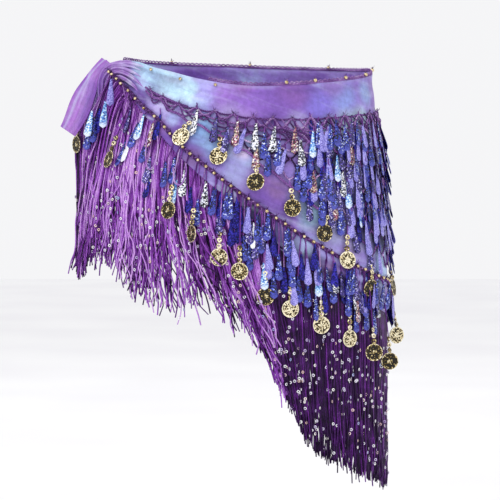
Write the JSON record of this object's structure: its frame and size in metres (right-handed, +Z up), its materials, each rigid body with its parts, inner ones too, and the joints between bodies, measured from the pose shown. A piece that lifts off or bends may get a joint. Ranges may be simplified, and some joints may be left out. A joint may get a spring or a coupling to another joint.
{
  "type": "belly dance hip scarf, worn and knotted at one hip",
  "caption": "Triangular tie-dyed hip scarf knotted at one hip, with crocheted net, beaded braid, hanging coins, teardrop sequins and a long thread fringe; hollow, as worn.",
  "frame": {"origin": "centre of the waist edge, where the wearer's hips hold the scarf", "axes": "+Z up, -Y towards the front, +X towards the triangle's point; the knot is at -X"},
  "size_m": [0.3717, 0.2755, 0.4705],
  "materials": {
    "cloth": "tie-dyed velvet-like jersey, purple to aqua",
    "knotted_cloth": "the same jersey, purple",
    "thread": "crocheted purple thread",
    "fringe": "purple rayon fringe thread",
    "coin_metal": "antique gold, stamped",
    "bead_metal": "polished gold-coloured beads",
    "teardrop": "lilac, indigo and silver glitter sequins",
    "sequin": "small silver sequins"
  },
  "bodies": {
    "root": {"bead_braid": "thread", "fringe_back_knot": "fringe", "fringe_back_point": "fringe", "fringe_front_knot": "fringe", "fringe_front_point": "fringe", "fringe_tail": "fringe", "hem_coin_back_1": "coin_metal", "hem_coin_back_2": "coin_metal", "hem_coin_back_3": "coin_metal", "hem_coin_back_4": "coin_metal", "hem_coin_back_5": "coin_metal", "hem_coin_back_6": "coin_metal", "hem_coin_back_7": "coin_metal", "hem_coin_back_8": "coin_metal", "hem_coin_front_1": "coin_metal", "hem_coin_front_10": "coin_metal", "hem_coin_front_11": "coin_metal", "hem_coin_front_12": "coin_metal", "hem_coin_front_2": "coin_metal", "hem_coin_front_3": "coin_metal", "hem_coin_front_4": "coin_metal", "hem_coin_front_5": "coin_metal", "hem_coin_front_6": "coin_metal", "hem_coin_front_7": "coin_metal", "hem_coin_front_8": "coin_metal", "hem_coin_front_9": "coin_metal", "knot": "knotted_cloth", "net": "thread", "net_coin_back_1": "coin_metal", "net_coin_back_2": "coin_metal", "net_coin_back_3": "coin_metal", "net_coin_back_4": "coin_metal", "net_coin_back_5": "coin_metal", "net_coin_front_1": "coin_metal", "net_coin_front_2": "coin_metal", "net_coin_front_3": "coin_metal", "net_coin_front_4": "coin_metal", "net_coin_front_5": "coin_metal", "net_coin_front_6": "coin_metal", "net_coin_front_7": "coin_metal", "net_coin_front_8": "coin_metal", "tail_coin": "coin_metal", "tail_long": "knotted_cloth", "tail_short": "knotted_cloth", "waist_edging_back": "thread", "waist_edging_front": "thread", "wrap_back": "cloth", "wrap_front": "cloth"}
  },
  "joints": []
}
